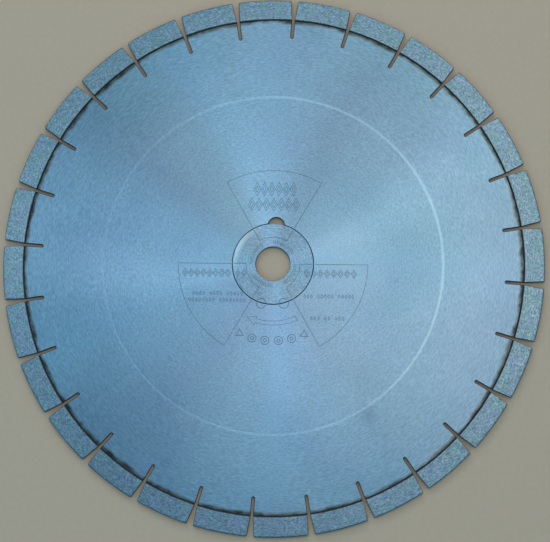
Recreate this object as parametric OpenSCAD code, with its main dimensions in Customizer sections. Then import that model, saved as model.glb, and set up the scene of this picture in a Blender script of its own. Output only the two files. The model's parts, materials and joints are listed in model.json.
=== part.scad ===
// Diamond saw blade: a slotted steel core, 28 sintered diamond segments brazed to its rim,
// and a reducing ring that takes the core's 60 mm hole down to a 25.4 mm arbor bore.
// The blade lies flat: +Z is its axis, and the origin is the bore's centre on the mid-plane.

/* [Blade] */
// Diameter over the segments
blade_d = 400; // [350:10:450]
// Number of segments, with one slot between each two
segment_count = 28; // [24:1:28]

/* [Steel core] */
// Thickness of the core
core_t = 2.6; // [2:0.1:3]
// Diameter of the hole that the reducing ring fills
core_bore_d = 60; // [56:1:70]
// Width of a slot
slot_w = 2; // [1.5:0.1:3]
// Depth of a slot, from the rim to its round end
slot_depth = 13.4; // [8:0.2:25]
// Angle of the first slot from +X
first_slot_angle = 9; // [0:0.5:12]
// Width of the bevel along the rim, which the braze fills
rim_bevel_w = 1.2; // [0.6:0.1:2]
// Depth of that bevel
rim_bevel_d = 0.2; // [0.1:0.05:0.4]

/* [Drive-pin hole] */
// Diameter of the drive-pin hole
pin_hole_d = 12; // [8:0.5:14]
// Distance from the blade's axis to the middle of the hole
pin_hole_r = 28.8; // [27:0.1:32]
// Direction of the hole from +X
pin_hole_angle = 86; // [0:1:180]

/* [Segments] */
// Radial height of a segment
segment_h = 15; // [8:0.5:20]
// Thickness of a segment, which is more than the core's so that the core runs clear in the cut
segment_t = 3.6; // [3.4:0.1:5]
// Gap between two segments at their inner edge
segment_gap = 1.8; // [1.2:0.1:3]

/* [Braze seam] */
// Thickness of the filler between the core's rim and a segment
seam_t = 0.2; // [0.1:0.05:0.4]
// How far the fillet rises above the core's face at the segment
fillet_rise = 0.25; // [0.1:0.05:0.4]
// How far a seam stops short of its segment's length, both ends together
seam_setback = 0.4; // [0.2:0.1:2]

/* [Reducing ring] */
// Diameter of the arbor bore
arbor_d = 25.4; // [20:0.2:32]
// Gap all round between the ring and the core
ring_clearance = 0.05; // [0.02:0.01:0.1]
// Bevel on the edges where the ring meets the core
edge_bevel = 0.2; // [0.1:0.05:0.4]

/* [Hidden] */
$fn = 180;
blade_r = blade_d / 2;
// The segments sit on this radius, and the core's rim is one seam thickness inside it
seat_r = blade_r - segment_h;
rim_r = seat_r - seam_t;
core_bore_r = core_bore_d / 2;
ring_r = core_bore_r - ring_clearance;
pitch = 360 / segment_count;
// A segment is a straight block, so its length is the chord of one pitch less the gap
segment_l = 2 * seat_r * sin(pitch / 2) - segment_gap;
seam_angle = 2 * asin((segment_l - seam_setback) / 2 / seat_r);
// A cutter reaches this far past what it cuts
over = 2;

function numbered(name, k) = str(name, k < 10 ? "_0" : "_", k);
function segment_angle(k) = first_slot_angle + (k - 0.5) * pitch;
SEGMENTS = [for (k = [1:segment_count]) numbered("segment", k)];
SEAMS = [for (k = [1:segment_count]) numbered("braze_seam", k)];

module disc(r, t) {
    cylinder(r = r, h = t, center = true);
}

// One slot along +X: parallel sides, with a round end towards the axis
module slot_cutter() {
    round_r = slot_w / 2;
    end_x = rim_r - slot_depth + round_r;
    translate([end_x, 0, 0])
        disc(round_r, core_t + over);
    translate([end_x, -round_r, -(core_t + over) / 2])
        cube([slot_depth + over, slot_w, core_t + over]);
}

// Half of the core's section: bevelled at the hole and along the rim
module core_section() {
    face_z = core_t / 2;
    polygon([
        [core_bore_r, -face_z + edge_bevel],
        [core_bore_r + edge_bevel, -face_z],
        [rim_r - rim_bevel_w, -face_z],
        [rim_r, -face_z + rim_bevel_d],
        [rim_r, face_z - rim_bevel_d],
        [rim_r - rim_bevel_w, face_z],
        [core_bore_r + edge_bevel, face_z],
        [core_bore_r, face_z - edge_bevel]
    ]);
}

// Steel disc with a slot between each two segments and a drive-pin hole that opens into its hole
module core() {
    color([0.60, 0.69, 0.80])
        difference() {
            rotate_extrude()
                core_section();
            for (k = [0:segment_count - 1])
                rotate(first_slot_angle + k * pitch)
                    slot_cutter();
            rotate(pin_hole_angle)
                translate([pin_hole_r, 0, 0])
                    disc(pin_hole_d / 2, core_t + over);
        }
}

// Straight-ended block of sintered bond, curved on its seat and on its cutting face
module segment(k) {
    color([0.52, 0.55, 0.56])
        rotate(segment_angle(k))
            difference() {
                intersection() {
                    disc(blade_r, segment_t);
                    translate([seat_r - over, -segment_l / 2, -segment_t])
                        cube([segment_h + 2 * over, segment_l, 2 * segment_t]);
                }
                disc(seat_r, segment_t + over);
            }
}

// Filler between the rim and one segment, with a fillet in the corner on each face
module braze_seam(k) {
    face_z = core_t / 2;
    toe_r = rim_r - rim_bevel_w;
    color([0.45, 0.38, 0.30])
        rotate(segment_angle(k) - seam_angle / 2)
            rotate_extrude(angle = seam_angle)
                polygon([
                    [rim_r, -face_z + rim_bevel_d],
                    [toe_r, -face_z],
                    [seat_r, -face_z - fillet_rise],
                    [seat_r, face_z + fillet_rise],
                    [toe_r, face_z],
                    [rim_r, face_z - rim_bevel_d]
                ]);
}

// Ring that fills the core's hole, flush with both faces, and carries the arbor bore
module reducing_ring() {
    face_z = core_t / 2;
    color([0.66, 0.71, 0.76])
        rotate_extrude()
            polygon([
                [arbor_d / 2, -face_z],
                [ring_r - edge_bevel, -face_z],
                [ring_r, -face_z + edge_bevel],
                [ring_r, face_z - edge_bevel],
                [ring_r - edge_bevel, face_z],
                [arbor_d / 2, face_z]
            ]);
}

core();
for (k = [1:segment_count])
    segment(k);
for (k = [1:segment_count])
    braze_seam(k);
reducing_ring();
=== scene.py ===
import json
import math

import bmesh
import bpy
import numpy as np
from mathutils import Euler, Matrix, Vector, geometry, noise


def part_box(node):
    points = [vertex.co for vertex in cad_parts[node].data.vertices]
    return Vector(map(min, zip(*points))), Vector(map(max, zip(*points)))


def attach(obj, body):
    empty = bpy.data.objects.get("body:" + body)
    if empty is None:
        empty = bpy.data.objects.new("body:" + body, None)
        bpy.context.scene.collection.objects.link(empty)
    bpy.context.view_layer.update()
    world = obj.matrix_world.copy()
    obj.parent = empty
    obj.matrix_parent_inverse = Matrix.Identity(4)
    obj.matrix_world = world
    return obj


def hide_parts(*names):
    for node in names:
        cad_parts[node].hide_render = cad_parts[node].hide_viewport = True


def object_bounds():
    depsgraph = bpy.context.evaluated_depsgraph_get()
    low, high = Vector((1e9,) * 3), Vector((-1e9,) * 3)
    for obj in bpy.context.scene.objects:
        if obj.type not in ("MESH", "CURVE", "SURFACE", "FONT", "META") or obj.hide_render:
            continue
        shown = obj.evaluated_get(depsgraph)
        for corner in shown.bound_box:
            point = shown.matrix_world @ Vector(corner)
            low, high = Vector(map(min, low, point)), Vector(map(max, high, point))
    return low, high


# A segmented diamond saw blade lying flat. Outlines are drawn in millimetres, and new_piece() turns
# them into metres in the shared frame: +Z is the blade's axis, +Y the top of the etched layout.
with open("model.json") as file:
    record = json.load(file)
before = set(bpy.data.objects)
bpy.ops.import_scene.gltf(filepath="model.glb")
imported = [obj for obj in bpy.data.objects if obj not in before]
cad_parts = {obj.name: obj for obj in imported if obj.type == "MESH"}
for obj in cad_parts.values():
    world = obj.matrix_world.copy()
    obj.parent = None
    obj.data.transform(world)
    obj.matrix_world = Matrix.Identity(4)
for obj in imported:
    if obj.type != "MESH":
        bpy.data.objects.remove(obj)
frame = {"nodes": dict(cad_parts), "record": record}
CAD_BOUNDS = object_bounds()
MM = 0.001

SEGMENTS = sorted(name for name in frame["nodes"] if name.startswith("segment_"))
SEAMS = sorted(name for name in frame["nodes"] if name.startswith("braze_seam_"))
MOUNTS = {mount["name"]: mount for mount in frame["record"]["mounts"]}


def reach(node):
    """How far a CAD node reaches from the blade's axis, in mm."""
    return max(math.hypot(v.co.x, v.co.y) for v in frame["nodes"][node].data.vertices) / MM


def half_height(node):
    """How far a CAD node reaches above the blade's mid-plane, in mm."""
    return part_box(node)[1].z / MM


# Sizes from the frame, in mm
CORE_H = half_height("core")
SEGMENT_H = half_height(SEGMENTS[0])
RIM_R = reach("core")
SEAT_R = reach(SEAMS[0])
BLADE_R = reach(SEGMENTS[0])
RING_R = reach("reducing_ring")
BORE_R = MOUNTS["arbor_bore"]["dims"]["r_mm"]

# Sizes that the frame doesn't give by name, in mm and degrees
CORE_BORE_R = 30.0
FIRST_SLOT = 9.0
SLOT_W = 2.0
SLOT_DEPTH = 13.4
PIN_HOLE_R = 6.0
PIN_HOLE_FROM_AXIS = 28.8
PIN_HOLE_ANGLE = 86.0
SEGMENT_GAP = 1.8
SEAM_SETBACK = 0.4
PITCH = 360 / len(SEGMENTS)
SEGMENT_HALF = SEAT_R * math.sin(math.radians(PITCH / 2)) - SEGMENT_GAP / 2

# The small things that the CAD leaves plain, in mm: bevels on the core's rim and where ring and core meet
CORE_BEVEL = 0.12
RING_BEVEL = 0.2
# Dirt and painted shade on the core's faces, round the hole and beside the slots, and how much wider it is
# at a slot's end
GAP_DIRT_AND_SHADE_W = 0.22
SLOT_DIRT_AND_SHADE_W = 0.26
SLOT_END_DIRT_AND_SHADE_W = 0.12
# The shallow slope along the ring's edges that catches the light
RING_GLINT_W = 0.3
RING_GLINT_DEPTH = 0.1
# The etched grooves, and the layer on their floor
GROOVE_DEPTH = 0.06
INLAY_T = 0.03
# The rolled tension track
TENSION_R = 125.5
TENSION_HALF_W = 1.5
TENSION_DEPTH = 0.015


# ---------------------------------------------------------------- meshes


def arc(radius, start, end, count, centre=(0.0, 0.0)):
    """count points along an arc, from the start to the end angle in degrees."""
    angles = np.radians(np.linspace(start, end, count))
    return np.column_stack([centre[0] + radius * np.cos(angles), centre[1] + radius * np.sin(angles)])


def ring_points(radius, count):
    """count points round a full circle."""
    return arc(radius, 0, 360, count + 1)[:-1]


def turned(points, degrees):
    """Points turned about the blade's axis."""
    c, s = math.cos(math.radians(degrees)), math.sin(math.radians(degrees))
    points = np.asarray(points, float)
    return np.column_stack([c * points[:, 0] - s * points[:, 1], s * points[:, 0] + c * points[:, 1]])


def segment_angle(number):
    """The direction of a segment's middle, in degrees."""
    return FIRST_SLOT + (number - 0.5) * PITCH


class Shell:
    """The points and faces of one mesh, in mm."""

    def __init__(self):
        self.points, self.faces, self.slots = [], [], []

    def add_points(self, xyz):
        """Adds points and returns their numbers."""
        start = len(self.points)
        self.points.extend(tuple(p) for p in xyz)
        return list(range(start, len(self.points)))

    def add_loop(self, xy, z):
        return self.add_points((x, y, z) for x, y in xy)

    def add_face(self, corners, slot=0):
        self.faces.append(tuple(corners))
        self.slots.append(slot)

    def bridge(self, low, high, slot=0):
        """Joins two loops that run anticlockwise, the low one under the high one, facing outwards."""
        for i in range(len(low)):
            j = (i + 1) % len(low)
            self.add_face((low[i], low[j], high[j], high[i]), slot)

    def bridge_inside(self, low, high, slot=0):
        """The same for the wall of a hole, facing the hole's axis."""
        self.bridge(high, low, slot)


def new_piece(name, shell, materials, body, sharp_angle=30):
    """Makes a Blender object from a shell and lets it ride on a body."""
    mesh = bpy.data.meshes.new(name)
    mesh.from_pydata([(x * MM, y * MM, z * MM) for x, y, z in shell.points], [], shell.faces)
    for material in materials:
        mesh.materials.append(material)
    mesh.polygons.foreach_set("material_index", shell.slots)
    mesh.shade_smooth()
    mesh.set_sharp_from_angle(angle=math.radians(sharp_angle))
    mesh.update()
    piece = bpy.data.objects.new(name, mesh)
    bpy.context.scene.collection.objects.link(piece)
    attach(piece, body)
    return piece


def triangulate(outline, holes=(), strokes=(), circles=(), loose=()):
    """Fills an outline with triangles. Returns the points, the triangles outside every stroke, the
    triangles in a stroke, and for each point put in, its number among the points that came out."""
    points, faces, edges = [], [], []
    for loop in (outline, *holes, *strokes):
        faces.append(list(range(len(points), len(points) + len(loop))))
        points.extend(Vector(p) for p in loop)
    for loop in circles:
        start, count = len(points), len(loop)
        edges.extend((start + i, start + (i + 1) % count) for i in range(count))
        points.extend(Vector(p) for p in loop)
    points.extend(Vector(p) for p in loose)
    inside_only, merge_distance = 1, 1e-5
    out, _, triangles, origins, _, parents = geometry.delaunay_2d_cdt(
        points, edges, faces, inside_only, merge_distance
    )
    place = {old: new for new, olds in enumerate(origins) for old in olds}
    hole_ids = set(range(1, 1 + len(holes)))
    plain, marked = [], []
    for triangle, inside in zip(triangles, parents):
        inside = set(inside)
        if 0 in inside and not inside & hole_ids:
            (marked if inside - {0} else plain).append(tuple(triangle))
    return np.array([tuple(p) for p in out]), plain, marked, place


def corner_numbers(triangles):
    return {i for triangle in triangles for i in triangle}


def directed_edges(triangles):
    return {(t[i], t[(i + 1) % 3]) for t in triangles for i in range(3)}


def tension_dip(xy):
    """How far the rolled tension track lies below the face at each point."""
    off = np.abs(np.hypot(xy[:, 0], xy[:, 1]) - TENSION_R) / TENSION_HALF_W
    return TENSION_DEPTH * np.where(off < 1, np.cos(off * math.pi / 2) ** 2, 0)


def add_plate_face(shell, z, up, rim, hole, strokes=(), circles=(), dip=None):
    """Adds one flat face of a plate, with a groove for each stroke. rim and hole are the number lists
    of two loops that are already in the shell. Returns the grooves' points and triangles."""
    outline, inner = [np.array([shell.points[i][:2] for i in loop]) for loop in (rim, hole)]
    xy, plain, marked, place = triangulate(outline, [inner], strokes, circles)
    dips = np.zeros(len(xy)) if dip is None else dip(xy)
    side = 1 if up else -1
    number = {place[old]: index for old, index in enumerate([*rim, *hole])}
    for i in sorted(corner_numbers(plain) - set(number)):
        number[i] = shell.add_points([(*xy[i], z - side * dips[i])])[0]
    floor = {}
    for i in sorted(corner_numbers(marked)):
        floor[i] = shell.add_points([(*xy[i], z - side * GROOVE_DEPTH)])[0]
    for triangles, numbers in ((plain, number), (marked, floor)):
        for t in triangles:
            corners = [numbers[i] for i in t]
            shell.add_face(corners if up else corners[::-1])
    grooves = directed_edges(marked)
    for a, b in directed_edges(plain):
        if (b, a) in grooves:
            wall = (number[b], number[a], floor[a], floor[b])
            shell.add_face(wall if up else wall[::-1])
    return xy, marked


def add_inlay(shell, xy, triangles, z):
    """Adds a thin closed layer over the floor of the grooves."""
    used = sorted(corner_numbers(triangles))
    low = dict(zip(used, shell.add_points((*xy[i], z) for i in used)))
    high = dict(zip(used, shell.add_points((*xy[i], z + INLAY_T) for i in used)))
    for t in triangles:
        shell.add_face([high[i] for i in t])
        shell.add_face([low[i] for i in reversed(t)])
    edges = directed_edges(triangles)
    for a, b in edges:
        if (b, a) not in edges:
            shell.add_face((low[a], low[b], high[b], high[a]))


# ---------------------------------------------------------------- etched layout

FAN_INNER_R = 20.0
FAN_OUTER_R = 70.0
FAN_STARTS = (60, 180, 300)
FAN_SPAN = 60
FAN_LINE_W = 0.34
FINE_LINE_W = 0.30
SYMBOL_LINE_W = 0.44
LINE_STEP = 0.8
HALF_CIRCLE_POINTS = 17

# Rows of nested rhombi in the fans: from x, to x, y, width, height and count
LARGE_ROWS = (
    (-15, 17, 56, 5.0, 10.5, 6),
    (-19, 19, 44.4, 5.1, 9.6, 7),
    (-67, -31, -7, 4.2, 6, 8),
    (-27.5, -19.5, -7, 3.6, 6, 2),
    (23, 62, -7, 4.2, 6, 8),
)
# The inner rhombus of a nested pair is this much of the outer one
NESTED = 0.48
# Rows of small rhombi: from x, to x, y, count, and the numbers of those left out
SMALL_ROWS = (
    (-59, -22, -22.3, 15, (4, 9)),
    (-62, -20, -27.2, 17, (8,)),
    (23, 60, -23.8, 15, (3, 9)),
    (28, 53, -40, 10, (3, 6)),
)
SMALL_W = 1.6
SMALL_H = 2.8

# Ringed dots and triangles on an arc below the bore, and two circles nearer to the bore
SYMBOL_ROW_R = 57
DOT_ANGLES = (255.2, 265.0, 275.0, 284.8)
DOT_RADII = (3.0, 1.1)
TRIANGLE_ANGLES = (245.4, 294.6)
TRIANGLE_R = 3.2
CIRCLE_PLACES = ((-8.2, -29.4), (8.4, -29.2))
CIRCLE_R = 3.6

# Groups of ticks round the ring
TICK_STARTS = (30, 120, 210, 300)
TICK_STEP = 4.5
TICK_COUNT = 14
TICK_INNER_R = 15.2
TICK_OUTER_R = 17.4


def at(radius, angle):
    """The point at that distance from the axis, in that direction."""
    return radius * math.cos(math.radians(angle)), radius * math.sin(math.radians(angle))


def line(start, end):
    """Points from start to end, about LINE_STEP apart."""
    count = max(2, 1 + math.ceil(math.dist(start, end) / LINE_STEP))
    return np.linspace(start, end, count)


def curve(radius, start, end):
    """Points along an arc round the axis, about LINE_STEP apart."""
    count = max(3, 1 + math.ceil(abs(math.radians(end - start)) * radius / LINE_STEP))
    return arc(radius, start, end, count)


def radial_line(angle, inner, outer):
    return line(at(inner, angle), at(outer, angle))


def circle(centre, radius):
    """A circle as two halves, because a stroke has to have two ends."""
    return [arc(radius, start, start + 180, HALF_CIRCLE_POINTS, centre) for start in (0, 180)]


def closed(corners):
    """The sides of a closed shape, as separate lines."""
    return [line(a, b) for a, b in zip(corners, [*corners[1:], corners[0]])]


def triangle(centre, radius):
    """A plain standing triangle."""
    return closed(arc(radius, 90, 330, 3, centre))


def rhombus(x, y, width, height):
    """A plain standing rhombus."""
    return closed([(x - width / 2, y), (x, y - height / 2), (x + width / 2, y), (x, y + height / 2)])


def rhombus_row(x0, x1, y, width, height, count, skip=(), nested=False):
    """Rhombi evenly spaced from x0 to x1, leaving out the numbers in skip. A nested one has a
    smaller rhombus round the same centre."""
    lines = []
    for i, x in enumerate(np.linspace(x0 + width / 2, x1 - width / 2, count)):
        if i not in skip:
            lines += rhombus(x, y, width, height)
            if nested:
                lines += rhombus(x, y, width * NESTED, height * NESTED)
    return lines


def rotation_arrow():
    """A curved arrow round the axis that shows which way the blade turns."""
    tail, neck, tip = 294, 254, 245
    body_in, body_out, head_in, head_out = 42.4, 45.4, 40.6, 47.2
    middle = (body_in + body_out) / 2
    return [
        curve(body_in, neck, tail),
        curve(body_out, neck, tail),
        line(at(body_in, tail), at(body_out, tail)),
        line(at(body_in, neck), at(head_in, neck)),
        line(at(head_in, neck), at(middle, tip)),
        line(at(middle, tip), at(head_out, neck)),
        line(at(head_out, neck), at(body_out, neck)),
    ]


def symbols():
    """Four ringed dots between two triangles, along an arc round the axis, and two circles."""
    lines = []
    for angle in DOT_ANGLES:
        for radius in DOT_RADII:
            lines += circle(at(SYMBOL_ROW_R, angle), radius)
    for angle in TRIANGLE_ANGLES:
        lines += triangle(at(SYMBOL_ROW_R, angle), TRIANGLE_R)
    for centre in CIRCLE_PLACES:
        lines += circle(centre, CIRCLE_R)
    return lines


def layout():
    """The etched layout as (line, width) pairs: three outlined fans round the bore, plain marks in
    and between them, and ticks round the ring."""
    fans, fine = [], []
    for start in FAN_STARTS:
        fans += [curve(radius, start, start + FAN_SPAN) for radius in (FAN_INNER_R, FAN_OUTER_R)]
    fans += [radial_line(angle, FAN_INNER_R, FAN_OUTER_R) for angle in range(0, 360, FAN_SPAN)]
    for x0, x1, y, width, height, count in LARGE_ROWS:
        fine += rhombus_row(x0, x1, y, width, height, count, nested=True)
    for x0, x1, y, count, skip in SMALL_ROWS:
        fine += rhombus_row(x0, x1, y, SMALL_W, SMALL_H, count, skip)
    fine += rotation_arrow()
    for start in TICK_STARTS:
        angles = [start + TICK_STEP * i for i in range(TICK_COUNT)]
        fine += [radial_line(angle, TICK_INNER_R, TICK_OUTER_R) for angle in angles]
    pairs = [(points, FAN_LINE_W) for points in fans]
    pairs += [(points, SYMBOL_LINE_W) for points in symbols()]
    return pairs + [(points, FINE_LINE_W) for points in fine]


def within(points, inner, outer):
    """The runs of a line that lie between two radii."""
    runs = [[]]
    for point, radius in zip(points, np.hypot(points[:, 0], points[:, 1])):
        if inner <= radius <= outer:
            runs[-1].append(point)
        else:
            runs.append([])
    return [np.array(run) for run in runs if len(run) > 1]


def ribbon(points, width):
    """The outline of a stroke of that width along a line, with its ends squared off past it."""
    along = np.gradient(points, axis=0)
    along /= np.linalg.norm(along, axis=1)[:, None]
    points = points.copy()
    points[0] -= along[0] * width / 2
    points[-1] += along[-1] * width / 2
    across = np.column_stack([-along[:, 1], along[:, 0]]) * width / 2
    return np.vstack([points - across, (points + across)[::-1]])


def strokes_between(inner, outer):
    """The outlines of all the layout's strokes between two radii."""
    return [ribbon(run, width) for points, width in layout() for run in within(points, inner, outer)]


# ---------------------------------------------------------------- core

# Points along a slot's side and its round end, and along the rim between two slots
SLOT_SIDE_POINTS = 4
SLOT_END_POINTS = 15
RIM_POINTS = 26
# Points along the pin hole and along the centre hole
NOTCH_POINTS = 40
HOLE_POINTS = 220
# Circles across the tension track, in half widths from its middle; the outermost two lie beyond it
TENSION_OFFSETS = (-1.3, -1, -0.66, -0.33, 0, 0.33, 0.66, 1, 1.3)
TENSION_POINTS = 360
# The material slots of the core and the ring
STEEL_SLOT, GRIME_AND_SHADE_SLOT = 0, 1


def core_rim(inset, end_shift):
    """The core's outer outline with its slots, moved inwards by inset, anticlockwise. The slots'
    round ends lie end_shift further in."""
    rim, half = RIM_R - inset, SLOT_W / 2 + inset
    slot_edge = math.degrees(math.asin(half / rim))
    end_x = RIM_R - SLOT_DEPTH + SLOT_W / 2 - end_shift
    rim_x = math.sqrt(rim**2 - half**2)
    side = np.linspace(rim_x, end_x, SLOT_SIDE_POINTS)[1:-1]
    side_y = np.full(len(side), half)
    slot = np.vstack([
        np.column_stack([side, -side_y]),
        arc(half, 270, 90, SLOT_END_POINTS, (end_x, 0)),
        np.column_stack([side[::-1], side_y]),
    ])
    points = []
    for k in range(len(SEGMENTS)):
        start = FIRST_SLOT + k * PITCH
        points.append(turned(slot, start))
        points.append(arc(rim, start + slot_edge, start + PITCH - slot_edge, RIM_POINTS))
    return np.vstack(points)


def core_hole(inset):
    """The outline of the core's centre hole and of the pin hole that opens into it, grown by inset."""
    bore, pin = CORE_BORE_R + inset, PIN_HOLE_R + inset
    cosine = (PIN_HOLE_FROM_AXIS**2 + bore**2 - pin**2) / (2 * PIN_HOLE_FROM_AXIS * bore)
    meets = math.degrees(math.acos(cosine))
    corner = arc(bore, meets, meets, 1)[0]
    swing = math.degrees(math.atan2(corner[1], corner[0] - PIN_HOLE_FROM_AXIS))
    notch = arc(pin, -swing, swing, NOTCH_POINTS, (PIN_HOLE_FROM_AXIS, 0))
    round_part = arc(bore, meets, 360 - meets, HOLE_POINTS)[1:-1]
    return turned(np.vstack([notch, round_part]), PIN_HOLE_ANGLE)


def tension_circles():
    """Circles across the rolled track, with one plain circle beyond each of its edges."""
    radii = TENSION_R + np.array(TENSION_OFFSETS) * TENSION_HALF_W
    return [ring_points(radius, TENSION_POINTS) for radius in radii]


def edge_section(bevel, dirt_and_shade):
    """(inset, z) steps up a plate's edge: a strip of each face, the bevels and the wall."""
    wall_z, inner = CORE_H - bevel, bevel + dirt_and_shade
    return [(inner, -CORE_H), (bevel, -CORE_H), (0, -wall_z), (0, wall_z), (bevel, CORE_H), (inner, CORE_H)]


def build_core(steel, grime_and_shade, etch):
    """The core's plate with cut edges darkened by dirt and painted shade, and the layer in its etched
    marks.
    """
    shell, rims = Shell(), []
    for inset, z in edge_section(CORE_BEVEL, SLOT_DIRT_AND_SHADE_W):
        end_shift = SLOT_END_DIRT_AND_SHADE_W if inset > CORE_BEVEL else 0
        rims.append(shell.add_loop(core_rim(inset, end_shift), z))
    bores = [shell.add_loop(core_hole(inset), z) for inset, z in edge_section(RING_BEVEL, GAP_DIRT_AND_SHADE_W)]
    for low, high in zip(rims, rims[1:]):
        shell.bridge(low, high, GRIME_AND_SHADE_SLOT)
    for low, high in zip(bores, bores[1:]):
        shell.bridge_inside(low, high, GRIME_AND_SHADE_SLOT)
    clear_of_bore = CORE_BORE_R + RING_BEVEL + GAP_DIRT_AND_SHADE_W + FAN_LINE_W
    strokes = strokes_between(clear_of_bore, RIM_R)
    circles = tension_circles()
    xy, marked = add_plate_face(shell, CORE_H, True, rims[-1], bores[-1], strokes, circles, tension_dip)
    add_plate_face(shell, -CORE_H, False, rims[0], bores[0], (), circles, tension_dip)
    core = new_piece("core_plate", shell, [steel, grime_and_shade], "blade")
    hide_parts("core")
    inlay = Shell()
    add_inlay(inlay, xy, marked, CORE_H - GROOVE_DEPTH)
    new_piece("core_etched_marks", inlay, [etch], "blade")


# ---------------------------------------------------------------- reducing ring

# Points round the ring and round its bore
RING_POINTS = 240
BORE_POINTS = 144
# The slots of the strips up the ring's edges: outside only the bevels are dark with dirt and painted shade,
# and the bore's wall is too
OUTER_SLOTS = (STEEL_SLOT, GRIME_AND_SHADE_SLOT, STEEL_SLOT, GRIME_AND_SHADE_SLOT, STEEL_SLOT)
BORE_SLOTS = (STEEL_SLOT, GRIME_AND_SHADE_SLOT, GRIME_AND_SHADE_SLOT, GRIME_AND_SHADE_SLOT, STEEL_SLOT)


def build_ring(steel, grime_and_shade, etch):
    """The ring's plate, sloped and bevelled along its edges, and the layer in its etched marks."""
    shell = Shell()
    glint_z, wall_z = CORE_H - RING_GLINT_DEPTH, CORE_H - RING_BEVEL
    near = RING_BEVEL - RING_GLINT_DEPTH
    far = near + RING_GLINT_W
    section = [(far, -CORE_H), (near, -glint_z), (0, -wall_z), (0, wall_z), (near, glint_z), (far, CORE_H)]
    outer = [shell.add_loop(ring_points(RING_R - inset, RING_POINTS), z) for inset, z in section]
    bore = [shell.add_loop(ring_points(BORE_R + inset, BORE_POINTS), z) for inset, z in section]
    for low, high, slot in zip(outer, outer[1:], OUTER_SLOTS):
        shell.bridge(low, high, slot)
    for low, high, slot in zip(bore, bore[1:], BORE_SLOTS):
        shell.bridge_inside(low, high, slot)
    strokes = strokes_between(BORE_R, RING_R - RING_BEVEL - RING_GLINT_W - FAN_LINE_W)
    xy, marked = add_plate_face(shell, CORE_H, True, outer[-1], bore[-1], strokes)
    add_plate_face(shell, -CORE_H, False, outer[0], bore[0])
    ring = new_piece("reducing_ring_plate", shell, [steel, grime_and_shade], "ring", sharp_angle=10)
    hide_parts("reducing_ring")
    inlay = Shell()
    add_inlay(inlay, xy, marked, CORE_H - GROOVE_DEPTH)
    new_piece("ring_etched_marks", inlay, [etch], "ring")


# ---------------------------------------------------------------- segments

SEGMENT_CORNER_R = 0.7
SEGMENT_EDGE_R = 0.3
# The wider bevel at a segment's foot, and how far above the seat it has faded out
FOOT_BEVEL_W = 0.36
FOOT_FADE = 4.0
# Points along the cutting face, the seat, the ends and the corners
CUTTING_POINTS = 58
SEAT_POINTS = 56
END_POINTS = 22
CORNER_POINTS = 6
# Steps down the wall: angles round each of its edges, and levels between the two
EDGE_ANGLES = (0, 30, 60, 90)
WALL_LEVELS = 6
# How far the ground faces lie below the CAD's, how they swell, and how rough they are
FACE_DIP = 0.03
FACE_SWELL = 0.3
SWELLS_PER_MM = 0.25
FACE_GRAIN = 0.016
# How rough the walls are, and how much of that is left along the faces' edges
WALL_GRAIN = 0.06
EDGE_CALM = 0.3
# The distance between a face's points, what they are moved by, and how far they keep off the edge
GRAIN_STEP = 0.75
GRAIN_SCATTER = 0.3
GRAIN_MARGIN = 0.4
# The crystals' number and radii, how far they keep off the edges, and how deep they may be sunk
GRIT_COUNT = 96
GRIT_SIZES = (0.15, 0.26)
GRIT_MARGIN = 0.8
GRIT_FACE_MARGIN = 0.5
GRIT_SUNK = 0.07
# The material slots of a segment
GRIT_SLOT, RAW_AND_SHADE_SLOT = 1, 2
SEGMENT_SEED = 700
# Each face takes its swelling from its own layer of the noise
NOISE_LAYER = 9.7


def segment_outline(inset):
    """A segment's outline before it is turned into place, moved inwards by inset, anticlockwise."""
    corner, half = SEGMENT_CORNER_R - inset, SEGMENT_HALF - SEGMENT_CORNER_R
    inner, outer = SEAT_R + SEGMENT_CORNER_R, BLADE_R - SEGMENT_CORNER_R
    inner_x, outer_x = math.sqrt(inner**2 - half**2), math.sqrt(outer**2 - half**2)
    inner_a, outer_a = math.degrees(math.asin(half / inner)), math.degrees(math.asin(half / outer))
    end_x = np.linspace(inner_x, outer_x, END_POINTS)[1:-1]
    end_y = np.full(len(end_x), SEGMENT_HALF - inset)
    outline = np.vstack([
        arc(BLADE_R - inset, -outer_a, outer_a, CUTTING_POINTS)[1:-1],
        arc(corner, outer_a, 90, CORNER_POINTS, (outer_x, half)),
        np.column_stack([end_x[::-1], end_y]),
        arc(corner, 90, 180 + inner_a, CORNER_POINTS, (inner_x, half)),
        arc(SEAT_R + inset, inner_a, -inner_a, SEAT_POINTS)[1:-1],
        arc(corner, 180 - inner_a, 270, CORNER_POINTS, (inner_x, -half)),
        np.column_stack([end_x, -end_y]),
        arc(corner, 270, 360 - outer_a, CORNER_POINTS, (outer_x, -half)),
    ])
    above_foot = np.hypot(outline[:, 0], outline[:, 1]) - SEAT_R
    pull = FOOT_BEVEL_W * inset / SEGMENT_EDGE_R * np.clip(1 - above_foot / FOOT_FADE, 0, 1)
    return outline * (1 + pull / (above_foot + SEAT_R))[:, None]


def wall_section():
    """(inset, z) steps down a segment's wall, from the upper face over two rounded edges."""
    edge = []
    for t in np.radians(EDGE_ANGLES):
        edge.append((SEGMENT_EDGE_R * (1 - math.sin(t)), SEGMENT_H - SEGMENT_EDGE_R * (1 - math.cos(t))))
    wall_z = np.linspace(SEGMENT_H - SEGMENT_EDGE_R, -SEGMENT_H + SEGMENT_EDGE_R, WALL_LEVELS)[1:-1]
    return edge + [(0, z) for z in wall_z] + [(inset, -z) for inset, z in reversed(edge)]


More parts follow.
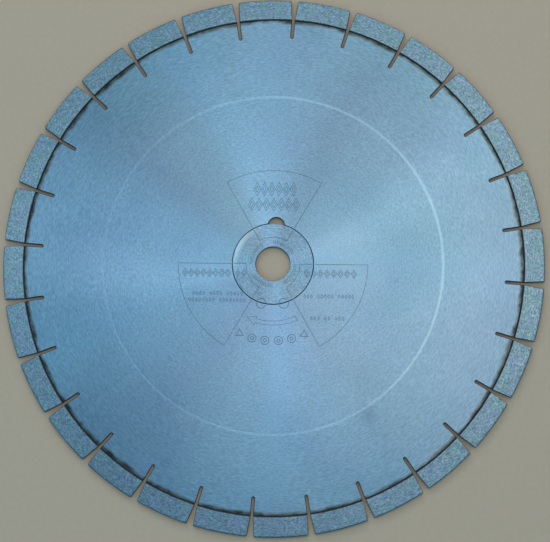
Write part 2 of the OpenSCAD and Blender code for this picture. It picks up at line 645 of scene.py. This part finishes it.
def add_segment_walls(shell, rng):
    """Adds the rough walls. Returns the edge loops of the upper and of the lower face."""
    centre = np.array([(SEAT_R + BLADE_R) / 2, 0])
    loops = []
    for inset, z in wall_section():
        outline = segment_outline(inset)
        calm = EDGE_CALM if abs(z) == SEGMENT_H else 1
        grain = WALL_GRAIN * rng.uniform(0, 1, len(outline)) * calm
        inwards = centre - outline
        inwards /= np.linalg.norm(inwards, axis=1)[:, None]
        rough = outline + inwards * grain[:, None]
        loops.append(shell.add_loop(rough, z - math.copysign(FACE_DIP, z)))
    for high, low in zip(loops, loops[1:]):
        shell.bridge(low, high, RAW_AND_SHADE_SLOT)
    return loops[0], loops[-1]


def face_grid(rng):
    """Scattered points over a segment's face, clear of its edges."""
    margin = SEGMENT_EDGE_R + GRAIN_MARGIN
    radii = np.arange(SEAT_R + margin + FOOT_BEVEL_W, BLADE_R - margin, GRAIN_STEP)
    across = np.arange(-SEGMENT_HALF + margin, SEGMENT_HALF - margin, GRAIN_STEP)
    r, y = (g.ravel() for g in np.meshgrid(radii, across))
    r = r + rng.uniform(-GRAIN_SCATTER, GRAIN_SCATTER, r.size) * GRAIN_STEP
    y = y + rng.uniform(-GRAIN_SCATTER, GRAIN_SCATTER, y.size) * GRAIN_STEP
    return np.column_stack([np.sqrt(r**2 - y**2), y])


def add_segment_face(shell, loop, side, number, rng):
    """Adds one uneven ground face inside a loop. side is 1 for the upper face, -1 for the lower."""
    outline = np.array([shell.points[i][:2] for i in loop])
    xy, triangles, _, place = triangulate(outline, loose=face_grid(rng))
    numbers = {place[i]: index for i, index in enumerate(loop)}
    layer = NOISE_LAYER * number * side
    for i in sorted(corner_numbers(triangles) - set(numbers)):
        swell = noise.noise(Vector((xy[i][0] * SWELLS_PER_MM, xy[i][1] * SWELLS_PER_MM, layer)))
        depth = FACE_DIP * (1 + FACE_SWELL * swell) + FACE_GRAIN * rng.uniform(0, 1)
        numbers[i] = shell.add_points([(*xy[i], side * (SEGMENT_H - depth))])[0]
    for t in triangles:
        corners = [numbers[i] for i in t]
        shell.add_face(corners if side > 0 else corners[::-1])


def crystal():
    """The points and faces of a cuboctahedron of radius 1, the shape of a synthetic diamond."""
    corners = [p for a in (-1, 1) for b in (-1, 1) for p in ((a, b, 0), (a, 0, b), (0, a, b))]
    bm = bmesh.new()
    for p in corners:
        bm.verts.new(Vector(p) / math.sqrt(2))
    bmesh.ops.convex_hull(bm, input=bm.verts)
    bm.verts.index_update()
    bmesh.ops.recalc_face_normals(bm, faces=bm.faces)
    points = np.array([tuple(v.co) for v in bm.verts])
    faces = [[v.index for v in f.verts] for f in bm.faces]
    bm.free()
    return points, faces


CRYSTAL = crystal()


def grit_places(sizes, rng):
    """Random places for crystals just under a segment's surface, one in four at its cutting face."""
    places = []
    for i, size in enumerate(sizes):
        y = rng.uniform(-SEGMENT_HALF + GRIT_MARGIN, SEGMENT_HALF - GRIT_MARGIN)
        sunk = size + rng.uniform(0.0, GRIT_SUNK)
        if i % 4 == 0:
            r = BLADE_R - sunk
            z = rng.uniform(-SEGMENT_H + GRIT_FACE_MARGIN, SEGMENT_H - GRIT_FACE_MARGIN)
        else:
            r = rng.uniform(SEAT_R + GRIT_MARGIN, BLADE_R - GRIT_MARGIN)
            z = (SEGMENT_H - sunk) * (1 if i % 2 else -1)
        places.append((math.sqrt(r**2 - y**2), y, z))
    return np.array(places)


def add_grit(shell, rng):
    """Adds diamond crystals at random places and sizes, each one turned at random."""
    points, faces = CRYSTAL
    sizes = rng.uniform(*GRIT_SIZES, GRIT_COUNT)
    for centre, size in zip(grit_places(sizes, rng), sizes):
        turn = np.array(Euler(rng.uniform(0, 2 * math.pi, 3)).to_matrix())
        start = shell.add_points(points @ turn.T * size + centre)[0]
        for face in faces:
            shell.add_face([start + i for i in face], GRIT_SLOT)


def build_segment(name, number, bond, diamond, raw_bond):
    """One segment: rough walls, two ground faces and the crystals in them."""
    rng = np.random.default_rng(SEGMENT_SEED + number)
    shell = Shell()
    upper, lower = add_segment_walls(shell, rng)
    add_segment_face(shell, upper, 1, number, rng)
    add_segment_face(shell, lower, -1, number, rng)
    add_grit(shell, rng)
    points = np.array(shell.points)
    shell.points = np.column_stack([turned(points[:, :2], segment_angle(number)), points[:, 2]])
    piece = new_piece(f"{name}_ground", shell, [bond, diamond, raw_bond], "blade", sharp_angle=50)
    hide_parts(name)


# ---------------------------------------------------------------- braze seams

SEAM_RISE = 0.27
SEAM_W = 0.85
SEAM_STEP = 0.5
# How much the fillet's width and rise wander, how quickly, and how rough its toe is
WIDTH_WANDER = 0.6
WIDTH_WANDER_STEP = 0.09
RISE_WANDER = 0.3
RISE_WANDER_STEP = 0.35
TOE_GRAIN = 0.08
# Steps from the fillet's toe to the segment, and how steeply it rises towards the segment
FILLET_STEPS = (0, 0.3, 0.55, 0.78, 1)
FILLET_CURVE = 2.2
# Each seam and each of its sides takes its wandering from its own place in the noise
WIDTH_PLACE = (3.1, 5.0)
RISE_PLACE = (7.7, 2.0)
# How deep the toe and the root lie under the core's face, and how far the root lies inside the rim
TOE_SUNK = 0.01
ROOT_SUNK = 0.3
ROOT_IN = 0.05
SEAM_SEED = 900


def seam_side(number, step, side, rng):
    """(radius, height) steps over one side of a seam: its root, then the fillet from its toe up."""
    along, up = WIDTH_PLACE
    wander = noise.noise(Vector((step * WIDTH_WANDER_STEP, along * number, up * side)))
    width = SEAM_W * (1 + WIDTH_WANDER * wander) + rng.uniform(-TOE_GRAIN, TOE_GRAIN)
    along, up = RISE_PLACE
    swell = noise.noise(Vector((step * RISE_WANDER_STEP, along * number, up * side)))
    rise = SEAM_RISE * (1 + RISE_WANDER * swell)
    toe_z = CORE_H - TOE_SUNK
    fillet = [(SEAT_R - width * (1 - s), toe_z + rise * s**FILLET_CURVE) for s in FILLET_STEPS]
    return [(RIM_R - ROOT_IN, CORE_H - ROOT_SUNK), *fillet]


def build_seam(name, number, braze):
    """One seam: a strip of filler along the segment's foot, with an uneven fillet on each face."""
    rng = np.random.default_rng(SEAM_SEED + number)
    half = (SEGMENT_HALF - SEAM_SETBACK / 2) / SEAT_R
    count = round(2 * half * SEAT_R / SEAM_STEP)
    middle = math.radians(segment_angle(number))
    shell, sections = Shell(), []
    for step in range(count + 1):
        angle = middle + half * (2 * step / count - 1)
        upper = seam_side(number, step, 1, rng)
        lower = seam_side(number, step, -1, rng)
        section = upper + [(r, -z) for r, z in reversed(lower)]
        section = [(r * math.cos(angle), r * math.sin(angle), z) for r, z in section]
        sections.append(shell.add_points(section))
    for a, b in zip(sections, sections[1:]):
        shell.bridge(a, b)
    shell.add_face(sections[0][::-1])
    shell.add_face(sections[-1])
    piece = new_piece(f"{name}_fillet", shell, [braze], "blade", sharp_angle=60)
    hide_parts(name)


# ---------------------------------------------------------------- materials


def rgba(value):
    """A colour or a grey with full alpha. A socket stays as it is."""
    if isinstance(value, bpy.types.NodeSocket):
        return value
    return (*value, 1) if isinstance(value, tuple) else (value, value, value, 1)


class Look:
    """A material and short ways to add nodes to it."""

    def __init__(self, name):
        self.material = bpy.data.materials.new(name)
        self.material.use_nodes = True
        self.tree = self.material.node_tree
        self.shader = next(n for n in self.tree.nodes if n.type == "BSDF_PRINCIPLED")

    def set(self, node, **inputs):
        """Sets or links a node's inputs, named with underscores for spaces, or i and their number."""
        for key, value in inputs.items():
            by_number = key[0] == "i" and key[1:].isdigit()
            socket = node.inputs[int(key[1:]) if by_number else key.replace("_", " ")]
            if isinstance(value, bpy.types.NodeSocket):
                self.tree.links.new(value, socket)
            else:
                socket.default_value = value
        return node

    def add(self, kind, settings=None, **inputs):
        node = self.tree.nodes.new("ShaderNode" + kind)
        for key, value in (settings or {}).items():
            setattr(node, key, value)
        return self.set(node, **inputs)

    def math(self, operation, a, b, clamp=False):
        return self.add("Math", {"operation": operation, "use_clamp": clamp}, i0=a, i1=b).outputs[0]

    def vector(self, operation, **inputs):
        return self.add("VectorMath", {"operation": operation}, **inputs)

    def ramp(self, value, *stops):
        """A colour ramp, whose stops are (position, grey or colour)."""
        node = self.add("ValToRGB", Fac=value)
        elements = node.color_ramp.elements
        while len(elements) < len(stops):
            elements.new(0.5)
        for element, (position, colour) in zip(elements, stops):
            element.position = position
            element.color = rgba(colour)
        return node.outputs[0]

    def mix(self, kind, factor, a, b):
        """Two colours mixed."""
        settings = {"data_type": "RGBA", "blend_type": kind}
        return self.add("Mix", settings, i0=factor, i6=rgba(a), i7=rgba(b)).outputs[2]

    def noise(self, vector, scale, detail, roughness):
        node = self.add("TexNoise", Vector=vector, Scale=scale, Detail=detail, Roughness=roughness)
        return node.outputs["Fac"]

    def place(self):
        return self.add("TexCoord").outputs["Object"]

    def flat_place(self):
        """The place with its height left out."""
        return self.vector("MULTIPLY", i0=self.place(), i1=(1, 1, 0)).outputs[0]

    def clouds(self, per_metre, detail=2.0, roughness=0.5):
        """Noise that is alike in all directions."""
        return self.noise(self.place(), per_metre, detail, roughness)

    def streaks(self, turns, per_metre, detail=2.0):
        """Noise drawn out round the axis: its features are 1/turns of a radian long and 1/per_metre
        of a metre wide."""
        flat = self.flat_place()
        depth = self.math("MULTIPLY", self.vector("LENGTH", i0=flat).outputs["Value"], per_metre)
        way = self.vector("SCALE", i0=self.vector("NORMALIZE", i0=flat).outputs[0], Scale=turns).outputs[0]
        split = self.add("SeparateXYZ", i0=way)
        vector = self.add("CombineXYZ", i0=split.outputs[0], i1=split.outputs[1], i2=depth).outputs[0]
        return self.noise(vector, 1.0, detail, 0.5)

    def radius_mm(self):
        """The distance from the axis in mm."""
        radius = self.vector("LENGTH", i0=self.flat_place()).outputs["Value"]
        return self.math("MULTIPLY", radius, 1 / MM)

    def band(self, radius, middle, half_width):
        """1 at the middle radius, falling to 0 at half_width to either side."""
        off = self.math("ABSOLUTE", self.math("SUBTRACT", radius, middle), 0.0)
        return self.math("SUBTRACT", 1.0, self.math("DIVIDE", off, half_width), clamp=True)

    def spot(self, place, size):
        """1 at a place on the blade in mm, falling to 0 at size mm from it."""
        middle = (place[0] * MM, place[1] * MM, 0)
        far = self.vector("DISTANCE", i0=self.flat_place(), i1=middle).outputs["Value"]
        return self.math("SUBTRACT", 1.0, self.math("DIVIDE", far, size * MM), clamp=True)

    def round_axis(self):
        """The direction round the blade's axis, which the grinding marks follow."""
        way = self.vector("CROSS_PRODUCT", i0=(0, 0, 1), i1=self.place()).outputs[0]
        turn = {"vector_type": "VECTOR", "convert_from": "OBJECT", "convert_to": "WORLD"}
        return self.add("VectorTransform", turn, i0=way).outputs[0]

    def bump(self, height, distance):
        """Marks up to distance deep, in metres."""
        return self.add("Bump", Height=height, Distance=distance).outputs[0]


# Reflectances of the steels, what shades or tints them, and the colours of their painted highlights
STEEL_DARK = (0.281, 0.51, 0.643)
STEEL_LIGHT = (0.437, 0.741, 0.901)
STEEL_SHADE = (0.70, 0.77, 0.82)
STEEL_TINT = (1.06, 0.97, 1.02)
STEEL_FLECK = (0.75, 0.9, 1.0)
TRACK_HIGHLIGHT_COLOUR = (0.54, 0.86, 1.0)
CLAMP_FACE_PALE = (0.65, 0.78, 0.92)
SMUDGE_SHADE = (0.45, 0.5, 0.6)
RING_DARK = (0.27, 0.46, 0.58)
RING_LIGHT = (0.47, 0.74, 0.90)
RING_HIGHLIGHT_COLOUR = (0.66, 0.92, 1.0)
CLEAN = (1.0, 1.0, 1.0)
STAINED = (0.84, 0.74, 0.64)
BURNT = (0.46, 0.36, 0.29)
SOOT_SHADE = (0.25, 0.22, 0.20)
# Dirt and painted shade in the gaps, beside the slots and on the bores' walls
GRIME_AND_SHADE_DARK = (0.003, 0.006, 0.010)
GRIME_AND_SHADE_LIGHT = (0.018, 0.026, 0.038)
MARK_DARK = (0.05, 0.10, 0.15)
MARK_LIGHT = (0.13, 0.22, 0.30)

# Reflectances of the segments, the filler and the floor
BOND_DARK = (0.14, 0.25, 0.31)
BOND_MIDDLE = (0.22, 0.385, 0.46)
BOND_LIGHT = (0.37, 0.59, 0.68)
BOND_SHADE = (0.55, 0.66, 0.75)
BOND_FLECK = (0.05, 0.08, 0.09)
BOND_GREEN_TINT = (0.95, 1.0, 0.95)
BOND_VIOLET_TINT = (1.04, 0.96, 1.05)
# A lighter tone for the segments on one side of the blade
BOND_LIGHTER = (1.5, 1.35, 1.25)
# The unground walls: their own dark tone, darkened further as painted shade
RAW_DARK = (0.018, 0.022, 0.026)
RAW_MIDDLE = (0.06, 0.07, 0.075)
RAW_LIGHT = (0.16, 0.16, 0.15)
RAW_RUST = (0.085, 0.06, 0.04)
GRIT_DARK = (0.20, 0.24, 0.20)
GRIT_LIGHT = (0.45, 0.50, 0.42)
# The filler: a brown heat stain, and near black as painted shade along the segments' feet
FILLER_DARK = (0.004, 0.005, 0.007)
FILLER_MIDDLE = (0.012, 0.012, 0.013)
FILLER_LIGHT = (0.07, 0.055, 0.04)
BOARD_DARK = (0.645, 0.505, 0.35)
BOARD_LIGHT = (0.675, 0.535, 0.37)

# Where the rim's heat stain starts, how wide it is and how far its edge wanders, in mm
STAIN_FROM = 181.5
STAIN_W = 2.3
STAIN_WANDER = 6.5
# Marked places, as the middle and the radius in mm: a painted highlight on one side of the tension track
# and a smaller second one, a paler side of the clamping face, the side of the rim whose segments are
# made lighter, a smudge, and a painted highlight near the ring's edge
TRACK_HIGHLIGHT = ((106, 22), 230.0)
TRACK_SECOND_HIGHLIGHT = ((50, 110), 120.0)
CLAMP_FACE_PALE_SIDE = ((52, -2), 42.0)
LIGHTER_SEGMENT_SIDE = ((-200, 10), 190.0)
SMUDGE = ((71, -110), 9.0)
RING_HIGHLIGHT = ((-24, 14), 22.0)
# How strongly each of them shows
TRACK_HIGHLIGHT_SHOWS = 0.5
TRACK_SECOND_HIGHLIGHT_SHOWS = 0.45
CLAMP_FACE_PALE_SIDE_SHOWS = 0.25
SMUDGE_SHOWS = 0.5
RING_HIGHLIGHT_SHOWS = 1.2
# How much smoother the tension track is than the steel beside it
TRACK_SMOOTHER = 0.05
# The ring's painted highlight lies only in a band: how far its middle lies inside the edge, and its half
# width
RING_HIGHLIGHT_IN = 1.3
RING_HIGHLIGHT_HALF_W = 3.6


def highlighted_paled_and_smudged(look, steel, track):
    """The core's steel with a painted highlight on one side of its tension track, a paler side and its
    smudge.
    """
    second_highlight = look.math("MULTIPLY", look.spot(*TRACK_SECOND_HIGHLIGHT), TRACK_SECOND_HIGHLIGHT_SHOWS)
    painted_highlight = look.math("MULTIPLY", look.math("ADD", look.spot(*TRACK_HIGHLIGHT), second_highlight), track)
    steel = look.mix("MIX", look.math("MULTIPLY", painted_highlight, TRACK_HIGHLIGHT_SHOWS), steel, TRACK_HIGHLIGHT_COLOUR)
    pale = look.math("MULTIPLY", look.spot(*CLAMP_FACE_PALE_SIDE), CLAMP_FACE_PALE_SIDE_SHOWS)
    steel = look.mix("MIX", pale, steel, CLAMP_FACE_PALE)
    smudge = look.math("MULTIPLY", look.spot(*SMUDGE), SMUDGE_SHOWS)
    return look.mix("MULTIPLY", smudge, steel, SMUDGE_SHADE)


def heat_stained(look, steel, radius):
    """The core's steel with the stain next to the segments, and soot on the stain."""
    wander = look.clouds(per_metre=45, detail=5, roughness=0.6)
    edge = look.math("ADD", radius, look.math("MULTIPLY", wander, STAIN_WANDER))
    past_edge = look.math("SUBTRACT", edge, STAIN_FROM + STAIN_WANDER / 2)
    stain = look.math("MULTIPLY", past_edge, 1 / STAIN_W, clamp=True)
    steel = look.mix("MULTIPLY", 1.0, steel, look.ramp(stain, (0.0, CLEAN), (0.5, STAINED), (1.0, BURNT)))
    patch = look.clouds(per_metre=130, detail=4, roughness=0.6)
    soot = look.math("MULTIPLY", look.ramp(patch, (0.45, 0.0), (0.60, 0.8)), stain)
    return look.mix("MULTIPLY", soot, steel, SOOT_SHADE)


def core_steel():
    """Steel ground round the axis, heat-stained next to the segments."""
    look = Look("core_ground_steel")
    long_marks = look.streaks(turns=12, per_metre=1500)
    short_marks = look.streaks(turns=50, per_metre=1150)
    scratch = look.streaks(turns=24, per_metre=5200)
    fleck = look.streaks(turns=150, per_metre=900, detail=1)
    cloud = look.clouds(per_metre=16, detail=3)
    hue = look.clouds(per_metre=9)
    steel = look.mix("MIX", look.ramp(short_marks, (0.3, 0.0), (0.7, 1.0)), STEEL_DARK, STEEL_LIGHT)
    steel = look.mix("MULTIPLY", look.ramp(long_marks, (0.35, 0.35), (0.65, 0.0)), steel, STEEL_SHADE)
    steel = look.mix("MULTIPLY", look.ramp(scratch, (0.30, 0.5), (0.45, 0.0)), steel, STEEL_SHADE)
    steel = look.mix("MULTIPLY", look.ramp(cloud, (0.35, 0.0), (0.75, 0.5)), steel, STEEL_SHADE)
    steel = look.mix("MULTIPLY", look.ramp(hue, (0.4, 0.0), (0.65, 1.0)), steel, STEEL_TINT)
    steel = look.mix("MIX", look.ramp(fleck, (0.74, 0.0), (0.80, 0.5)), steel, STEEL_FLECK)
    radius = look.radius_mm()
    track = look.band(radius, TENSION_R, TENSION_HALF_W)
    steel = heat_stained(look, highlighted_paled_and_smudged(look, steel, track), radius)
    rough = look.ramp(short_marks, (0.2, 0.40), (0.8, 0.46))
    look.set(look.shader, Base_Color=steel, Metallic=1.0, Anisotropic=1.0)
    smoother = look.math("MULTIPLY", track, TRACK_SMOOTHER)
    look.set(look.shader, Roughness=look.math("SUBTRACT", rough, smoother))
    look.set(look.shader, Normal=look.bump(scratch, 0.000006), Tangent=look.round_axis())
    return look.material


def ring_steel():
    """Turned steel with fine concentric lines, and a painted highlight in a band near its edge."""
    look = Look("ring_turned_steel")
    lines = look.streaks(turns=3, per_metre=1500, detail=3)
    short_marks = look.streaks(turns=16, per_metre=1000, detail=3)
    steel = look.mix("MIX", look.ramp(short_marks, (0.3, 0.0), (0.7, 1.0)), RING_DARK, RING_LIGHT)
    steel = look.mix("MULTIPLY", look.ramp(lines, (0.38, 0.7), (0.60, 0.0)), steel, STEEL_SHADE)
    rim = look.band(look.radius_mm(), RING_R - RING_HIGHLIGHT_IN, RING_HIGHLIGHT_HALF_W)
    ring_highlight_mask = look.math("MULTIPLY", look.spot(*RING_HIGHLIGHT), rim)
    painted_highlight = look.math("MULTIPLY", ring_highlight_mask, RING_HIGHLIGHT_SHOWS, clamp=True)
    steel = look.mix("MIX", painted_highlight, steel, RING_HIGHLIGHT_COLOUR)
    look.set(look.shader, Base_Color=steel, Metallic=1.0, Anisotropic=1.0)
    look.set(look.shader, Roughness=look.ramp(lines, (0.2, 0.42), (0.8, 0.50)))
    look.set(look.shader, Normal=look.bump(lines, 0.000006), Tangent=look.round_axis())
    return look.material


def grime_and_shade():
    """Dark oily dirt and painted shade in narrow gaps, on cut edges and on the bores' walls."""
    look = Look("edge_grime_and_painted_shade")
    patch = look.clouds(per_metre=400, detail=3)
    dirt_and_shade = look.ramp(patch, (0.3, GRIME_AND_SHADE_DARK), (0.7, GRIME_AND_SHADE_LIGHT))
    look.set(look.shader, Base_Color=dirt_and_shade, Metallic=0.3, Specular_IOR_Level=0.3)
    look.set(look.shader, Roughness=look.ramp(patch, (0.3, 0.5), (0.7, 0.7)))
    return look.material


def etched():
    """The dull dark floor of the etched marks."""
    look = Look("etched_mark")
    patch = look.clouds(per_metre=700)
    look.set(look.shader, Base_Color=look.ramp(patch, (0.3, MARK_DARK), (0.7, MARK_LIGHT)), Metallic=0.6)
    look.set(look.shader, Roughness=look.ramp(patch, (0.3, 0.5), (0.7, 0.7)))
    return look.material


def bond():
    """Ground sintered metal, mottled, flecked, faintly heat-tinted, and lighter on the blade's left side.
    """
    look = Look("sintered_bond")
    speck = look.streaks(turns=110, per_metre=1300, detail=3)
    mottle = look.clouds(per_metre=300, detail=3, roughness=0.6)
    fleck = look.clouds(per_metre=1000, detail=1)
    hue = look.clouds(per_metre=110, detail=3)
    metal = look.ramp(speck, (0.30, BOND_DARK), (0.5, BOND_MIDDLE), (0.72, BOND_LIGHT))
    metal = look.mix("MULTIPLY", look.ramp(mottle, (0.40, 0.25), (0.60, 0.0)), metal, BOND_SHADE)
    metal = look.mix("MIX", look.ramp(fleck, (0.65, 0.0), (0.71, 0.75)), metal, BOND_FLECK)
    tint = look.ramp(hue, (0.38, BOND_GREEN_TINT), (0.62, BOND_VIOLET_TINT))
    metal = look.mix("MULTIPLY", 1.0, metal, tint)
    metal = look.mix("MULTIPLY", look.spot(*LIGHTER_SEGMENT_SIDE), metal, BOND_LIGHTER)
    look.set(look.shader, Base_Color=metal, Metallic=0.95, Anisotropic=0.8)
    look.set(look.shader, Roughness=look.ramp(speck, (0.3, 0.48), (0.7, 0.38)))
    look.set(look.shader, Normal=look.bump(speck, 0.00002), Tangent=look.round_axis())
    return look.material


def raw_bond():
    """The same metal where it isn't ground, grainy and rusty, and darkened further as painted shade on the
    segments' walls and foot bevels.
    """
    look = Look("raw_sintered_bond_and_painted_shade")
    grain = look.clouds(per_metre=1600, detail=3, roughness=0.7)
    patch = look.clouds(per_metre=180)
    metal = look.ramp(grain, (0.3, RAW_DARK), (0.55, RAW_MIDDLE), (0.8, RAW_LIGHT))
    metal = look.mix("MIX", look.ramp(patch, (0.5, 0.0), (0.75, 0.5)), metal, RAW_RUST)
    look.set(look.shader, Base_Color=metal, Metallic=0.7, Normal=look.bump(grain, 0.00012))
    look.set(look.shader, Roughness=look.ramp(grain, (0.3, 0.8), (0.7, 0.55)))
    return look.material


def diamond():
    """Grey-yellow synthetic diamond grit."""
    look = Look("diamond_grit")
    patch = look.clouds(per_metre=250, detail=1)
    look.set(look.shader, Base_Color=look.ramp(patch, (0.3, GRIT_DARK), (0.7, GRIT_LIGHT)))
    look.set(look.shader, Roughness=look.ramp(patch, (0.3, 0.12), (0.7, 0.3)), IOR=2.4)
    return look.material


def braze():
    """Heat-stained filler, made near black as painted shade for the dark line along the segments' feet."""
    look = Look("braze_filler_and_painted_shade")
    patch = look.clouds(per_metre=350, detail=4, roughness=0.6)
    filler = look.ramp(patch, (0.40, FILLER_DARK), (0.62, FILLER_MIDDLE), (0.80, FILLER_LIGHT))
    look.set(look.shader, Base_Color=filler, Metallic=0.2, Normal=look.bump(patch, 0.0001))
    look.set(look.shader, Roughness=look.ramp(patch, (0.3, 0.5), (0.7, 0.75)))
    return look.material


def floor_paper():
    """Plain pale board."""
    look = Look("pale_board")
    fibre = look.clouds(per_metre=300, detail=4, roughness=0.6)
    look.set(look.shader, Base_Color=look.ramp(fibre, (0.3, BOARD_DARK), (0.7, BOARD_LIGHT)), Roughness=0.9)
    return look.material


# ---------------------------------------------------------------- stage

# The camera's turn about X, Y and Z in degrees
CAMERA_TILT = (7.36, 1.75, 0.9)
# How far the blade's centre lies to the camera's right, above it and ahead of it, in mm
CENTRE_FROM_CAMERA = (-1.49, 5.08, 1332.6)
SENSOR_W = 36.0
LENS = 118.0
# How far the camera sees, how far off the lamps are and half the floor's width, in metres
CLIP_END = 20
LAMP_DISTANCE = 2.2
FLOOR_HALF_W = 4.0
SKY = (0.45, 0.74, 1.0)
SKY_STRENGTH = 0.313


def softbox(name, azimuth, elevation, size, watts, tint):
    """A rectangular lamp that looks at the blade's centre. The angles are in degrees, and size is
    its width and height in metres."""
    lamp = bpy.data.lights.new(name, "AREA")
    lamp.shape = "RECTANGLE"
    lamp.size, lamp.size_y = size
    lamp.energy = watts
    lamp.color = tint
    a, e = math.radians(azimuth), math.radians(elevation)
    place = Vector((math.cos(e) * math.cos(a), math.cos(e) * math.sin(a), math.sin(e))) * LAMP_DISTANCE
    light = bpy.data.objects.new(name, lamp)
    light.location = place
    light.rotation_euler = place.to_track_quat("Z", "Y").to_euler()
    bpy.context.scene.collection.objects.link(light)


def add_floor():
    mesh = bpy.data.meshes.new("floor")
    bm = bmesh.new()
    bmesh.ops.create_grid(bm, x_segments=1, y_segments=1, size=FLOOR_HALF_W)
    bm.to_mesh(mesh)
    bm.free()
    mesh.materials.append(floor_paper())
    floor = bpy.data.objects.new("floor", mesh)
    floor.location.z = CAD_BOUNDS[0][2]
    bpy.context.scene.collection.objects.link(floor)


def add_camera():
    data = bpy.data.cameras.new("camera")
    data.sensor_width, data.lens = SENSOR_W, LENS
    data.clip_end = CLIP_END
    camera = bpy.data.objects.new("camera", data)
    camera.rotation_euler = Euler([math.radians(a) for a in CAMERA_TILT])
    right, above, ahead = CENTRE_FROM_CAMERA
    camera.location = camera.rotation_euler.to_matrix() @ (Vector((-right, -above, ahead)) * MM)
    bpy.context.scene.collection.objects.link(camera)
    bpy.context.scene.camera = camera


def add_light():
    """The soft sky and the lamps, which stand for a bright room with a window on each side."""
    world = bpy.data.worlds.new("world")
    bpy.context.scene.world = world
    world.use_nodes = True
    background = world.node_tree.nodes["Background"]
    background.inputs["Color"].default_value = rgba(SKY)
    background.inputs["Strength"].default_value = SKY_STRENGTH
    softbox("high_key", 60, 62, (0.7, 0.7), 2.4, (1.0, 0.81, 0.66))
    softbox("high_left", 120, 82, (0.5, 0.5), 2.3, (1.0, 0.9, 0.99))
    softbox("high_right", 0, 82, (0.5, 0.5), 1.9, (1.0, 0.74, 0.61))
    softbox("high_middle", 45, 74, (0.5, 0.5), 2.3, (1.0, 0.74, 0.61))
    softbox("overhead", 0, 90, (0.6, 0.6), 0.6, (0.6, 0.86, 1.0))
    softbox("high_back", 90, 60, (0.6, 0.9), 1.0, (0.93, 1.0, 0.82))
    softbox("high_far", 150, 60, (0.9, 0.9), 0.76, (0.45, 0.74, 1.0))
    softbox("strip_top", 105, 32, (0.46, 0.8), 2.5, (1.0, 0.84, 0.94))
    softbox("window_top", 104, 32, (2.3, 0.8), 8.2, (0.72, 0.89, 1.0))
    softbox("window_left", 172, 32, (0.8, 0.8), 1.7, (0.52, 0.72, 1.0))
    softbox("strip_left", 183, 32, (0.3, 0.8), 1.4, (0.2, 0.66, 1.0))
    softbox("window_bottom", 248, 32, (1.6, 0.8), 4.7, (0.45, 0.81, 1.0))
    softbox("strip_bottom", 279, 32, (0.36, 0.8), 1.3, (0.2, 0.68, 1.0))
    softbox("window_right", 16, 32, (1.05, 0.8), 4.3, (0.45, 0.74, 1.0))


# ---------------------------------------------------------------- the scene

bpy.context.scene.view_settings.view_transform = "Standard"
add_camera()
add_floor()
add_light()
STEEL, RING_STEEL, GRIME_AND_SHADE, ETCH = core_steel(), ring_steel(), grime_and_shade(), etched()
BOND, RAW_BOND_AND_SHADE, DIAMOND, BRAZE_AND_SHADE = bond(), raw_bond(), diamond(), braze()
build_core(STEEL, GRIME_AND_SHADE, ETCH)
build_ring(RING_STEEL, GRIME_AND_SHADE, ETCH)
for number, name in enumerate(SEGMENTS, 1):
    build_segment(name, number, BOND, DIAMOND, RAW_BOND_AND_SHADE)
for number, name in enumerate(SEAMS, 1):
    build_seam(name, number, BRAZE_AND_SHADE)
